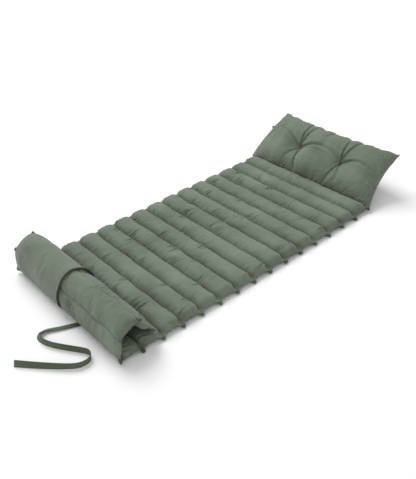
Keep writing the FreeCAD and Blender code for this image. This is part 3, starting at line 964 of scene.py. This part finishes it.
def make_stage():
    """The plain pale floor."""
    mesh = bpy.data.meshes.new("floor")
    corners = [(FLOOR_SIZE * u, FLOOR_SIZE * v, 0) for u, v in ((-1, -1), (1, -1), (1, 1), (-1, 1))]
    mesh.from_pydata(corners, [], [(0, 1, 2, 3)])
    floor = bpy.data.objects.new("floor", mesh)
    bpy.context.scene.collection.objects.link(floor)
    material, _, shader = principled("paper")
    set_inputs(shader, FLOOR)
    mesh.materials.append(material)


def area_light(name, place, size, power):
    """A square light that faces the middle of the floor."""
    light = bpy.data.lights.new(name, "AREA")
    light.size = size
    light.energy = power
    made = bpy.data.objects.new(name, light)
    made.location = place
    made.rotation_euler = (-Vector(place)).to_track_quat("-Z", "Y").to_euler()
    bpy.context.scene.collection.objects.link(made)


def make_light():
    """A soft key light from the far left, a weak fill and an even white surround."""
    bpy.context.scene.view_settings.view_transform = "Standard"
    area_light("key", **KEY)
    area_light("fill", **FILL)
    world = bpy.data.worlds.new("studio")
    world.use_nodes = True
    background = next(n for n in world.node_tree.nodes if n.type == "BACKGROUND")
    set_inputs(background, {"Color": (1, 1, 1, 1), "Strength": WORLD_STRENGTH})
    bpy.context.scene.world = world


AZIMUTH = math.radians(50.10)
ELEVATION = math.radians(34.71)
CAMERA_ROLL = math.radians(-3.0)
CAMERA_DISTANCE = 2.5802
CAMERA_TARGET = Vector((0.0095, -0.0834, 0.0))
LENS = 54.13
SENSOR = 36.0


def make_camera():
    """The camera at the photograph's angle, turned a little about its own axis."""
    level = math.cos(ELEVATION)
    back = Vector((math.sin(AZIMUTH) * level, -math.cos(AZIMUTH) * level, math.sin(ELEVATION)))
    right = Vector((math.cos(AZIMUTH), math.sin(AZIMUTH), 0))
    up = back.cross(right)
    rolled_right = right * math.cos(CAMERA_ROLL) + up * math.sin(CAMERA_ROLL)
    rolled_up = up * math.cos(CAMERA_ROLL) - right * math.sin(CAMERA_ROLL)
    data = bpy.data.cameras.new("camera")
    data.sensor_fit = "HORIZONTAL"
    data.sensor_width = SENSOR
    data.lens = LENS
    camera = bpy.data.objects.new("camera", data)
    turn = Matrix((rolled_right, rolled_up, back)).transposed()
    camera.matrix_world = Matrix.Translation(CAMERA_TARGET + back * CAMERA_DISTANCE) @ turn.to_4x4()
    bpy.context.scene.collection.objects.link(camera)
    bpy.context.scene.camera = camera


# ---------------------------------------------------------------- small pieces
FOOT_HEM_START, FOOT_HEM_END = 0.0006, 0.0235  # its extent from the last seam
FOOT_HEM_FOLD = 0.015  # where its folded edge begins
FOOT_HEM_HALF = 0.0007  # half its thickness, and what the folded edge adds
FOOT_HEM_FOLD_HALF = 0.0008
FOOT_HEM_WAVE = 0.0012  # height and length of its waves
FOOT_HEM_WAVELENGTH = 0.09
FOOT_HEM_MESH = (121, 13)  # points across and along
TAB_SECTION = (
    (-1, 0), (-0.6, 0.5), (0.2, 0.75), (0.85, 0.5), (1, 0), (0.85, -0.5), (0.2, -0.75), (-0.6, -0.5),
)
TAB_HALF_LENGTH = 0.0130
TAB_HALF_WIDTH = 0.0050
TAB_THICKNESS = 0.0012
TAB_OUTWARD = 0.0050  # how far its middle lies outside that of its CAD solid
TAB_COLUMNS = 7


def make_end_hem(cloth):
    """The flat hem beyond the last channel, with its thickened edge."""
    _, along, normal = channel_axes(1)
    y0, z0 = SEAMS[0]
    x = np.linspace(-HALF_WIDTH, HALF_WIDTH, FOOT_HEM_MESH[0])
    s = np.linspace(FOOT_HEM_START, FOOT_HEM_END, FOOT_HEM_MESH[1])[:, None]
    wave = FOOT_HEM_WAVE * smooth_noise(x, 33, FOOT_HEM_WAVELENGTH)[None, :] * (s / FOOT_HEM_END)
    surfaces = []
    for sign in (-1, 1):
        thick = FOOT_HEM_HALF + FOOT_HEM_FOLD_HALF * (s > FOOT_HEM_FOLD)
        n = wave + sign * thick
        y = y0 - along[0] * s + n * normal[0]
        z = z0 - along[1] * s + n * normal[1]
        surfaces.append(np.stack([np.broadcast_to(x, y.shape), y, z], axis=-1))
    vertices, faces = closed_sheet(*surfaces)
    made = mesh_object("foot_hem", vertices, faces, vertices[:, :2])
    finish_piece(made, cloth, "channel_01", "cover_cotton", "foot_end_hem")


def make_tufts(thread):
    """A small thread knot in each dimple of the pillow."""
    vertices, faces = [], []
    rings, sides = KNOT_RINGS, KNOT_SIDES
    for tx, ta in TUFTS:
        base = len(vertices)
        local = [(tx, ta, KNOT_MIDDLE + KNOT_HALF)]
        for r in range(1, rings):
            polar = math.pi * r / rings
            for k in range(sides):
                turn = 2 * math.pi * k / sides
                ripple = 1 + KNOT_RIPPLE * math.sin(3 * turn + polar * 2)
                radius = KNOT_RADIUS * math.sin(polar) * ripple
                height = KNOT_MIDDLE + KNOT_HALF * math.cos(polar)
                local.append((tx + radius * math.cos(turn), ta + radius * math.sin(turn), height))
        local.append((tx, ta, KNOT_MIDDLE - KNOT_HALF))
        vertices += [(x, *pillow_places(a, n)) for x, a, n in local]
        low = len(vertices) - 1 - sides
        faces += joined_rings(base + 1, rings - 1, sides, -1)
        for k in range(sides):
            after = (k + 1) % sides
            faces.append((base, base + 1 + k, base + 1 + after))
            faces.append((low + k, len(vertices) - 1, low + after))
    made = mesh_object("pillow_tuft_knots", vertices, faces)
    finish_piece(made, thread, "pillow", "tuft_thread", "pillow_tufts")


def make_side_tab(tape):
    """The blank folded tab in the pillow's far side seam."""
    low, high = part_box("pillow_side_tab")
    middle = (low + high) / 2
    cosine, sine = math.cos(PILLOW_TILT), math.sin(PILLOW_TILT)
    vertices = []
    for across in np.linspace(-1, 1, TAB_COLUMNS) * TAB_HALF_WIDTH:
        for u, v in TAB_SECTION:
            n = v * TAB_THICKNESS
            y, z = middle.y + across * cosine - n * sine, middle.z + across * sine + n * cosine
            vertices.append((middle.x - TAB_OUTWARD - u * TAB_HALF_LENGTH, y, z))
    count = len(TAB_SECTION)
    faces = joined_rings(0, TAB_COLUMNS, count, -1)
    faces.append(tuple(range(count)))
    faces.append(tuple(range(len(vertices) - 1, len(vertices) - 1 - count, -1)))
    made = mesh_object("pillow_tab", vertices, faces)
    finish_piece(made, tape, "pillow", "tab_tape", "pillow_side_tab")


# ---------------------------------------------------------------- everything
FABRICS = {
    # dark and light colour, thread pitch in metres, roughness, thread bump, crumpling
    "cover_cotton": ((0.098, 0.121, 0.088), (0.194, 0.231, 0.180), 0.0006, 0.88, 0.35, 0.50),
    "tie_tape": ((0.055, 0.078, 0.045), (0.120, 0.155, 0.100), 0.0008, 0.85, 0.5, 0.12),
    "tuft_thread": ((0.048, 0.062, 0.042), (0.105, 0.130, 0.094), 0.0004, 0.8, 0.4, 0.05),
    "tab_tape": ((0.018, 0.016, 0.014), (0.050, 0.045, 0.040), 0.0004, 0.8, 0.4, 0.05),
}
cotton, tape, tuft_thread, dark_tape = (woven(name, *look) for name, look in FABRICS.items())

make_camera()
make_stage()
make_light()
make_tie(tape)
for number in range(1, CHANNELS + 1):
    make_channel(number, cotton)
# The seam tabs get the dark thread colour, which partly paints the shade in the notches at the seam
# ends.
for number in range(0, CHANNELS + 1):
    make_seam_tabs(number, f"channel_{max(1, number):02d}", tuft_thread)
for number in range(CURLED + 1, CHANNELS):
    make_seam_stitches(number, f"channel_{number:02d}", tuft_thread)
make_panel(cotton, tuft_thread)
make_end_hem(cotton)
make_pillow(cotton)
make_tufts(tuft_thread)
make_side_tab(dark_tape)

bpy.context.view_layer.update()
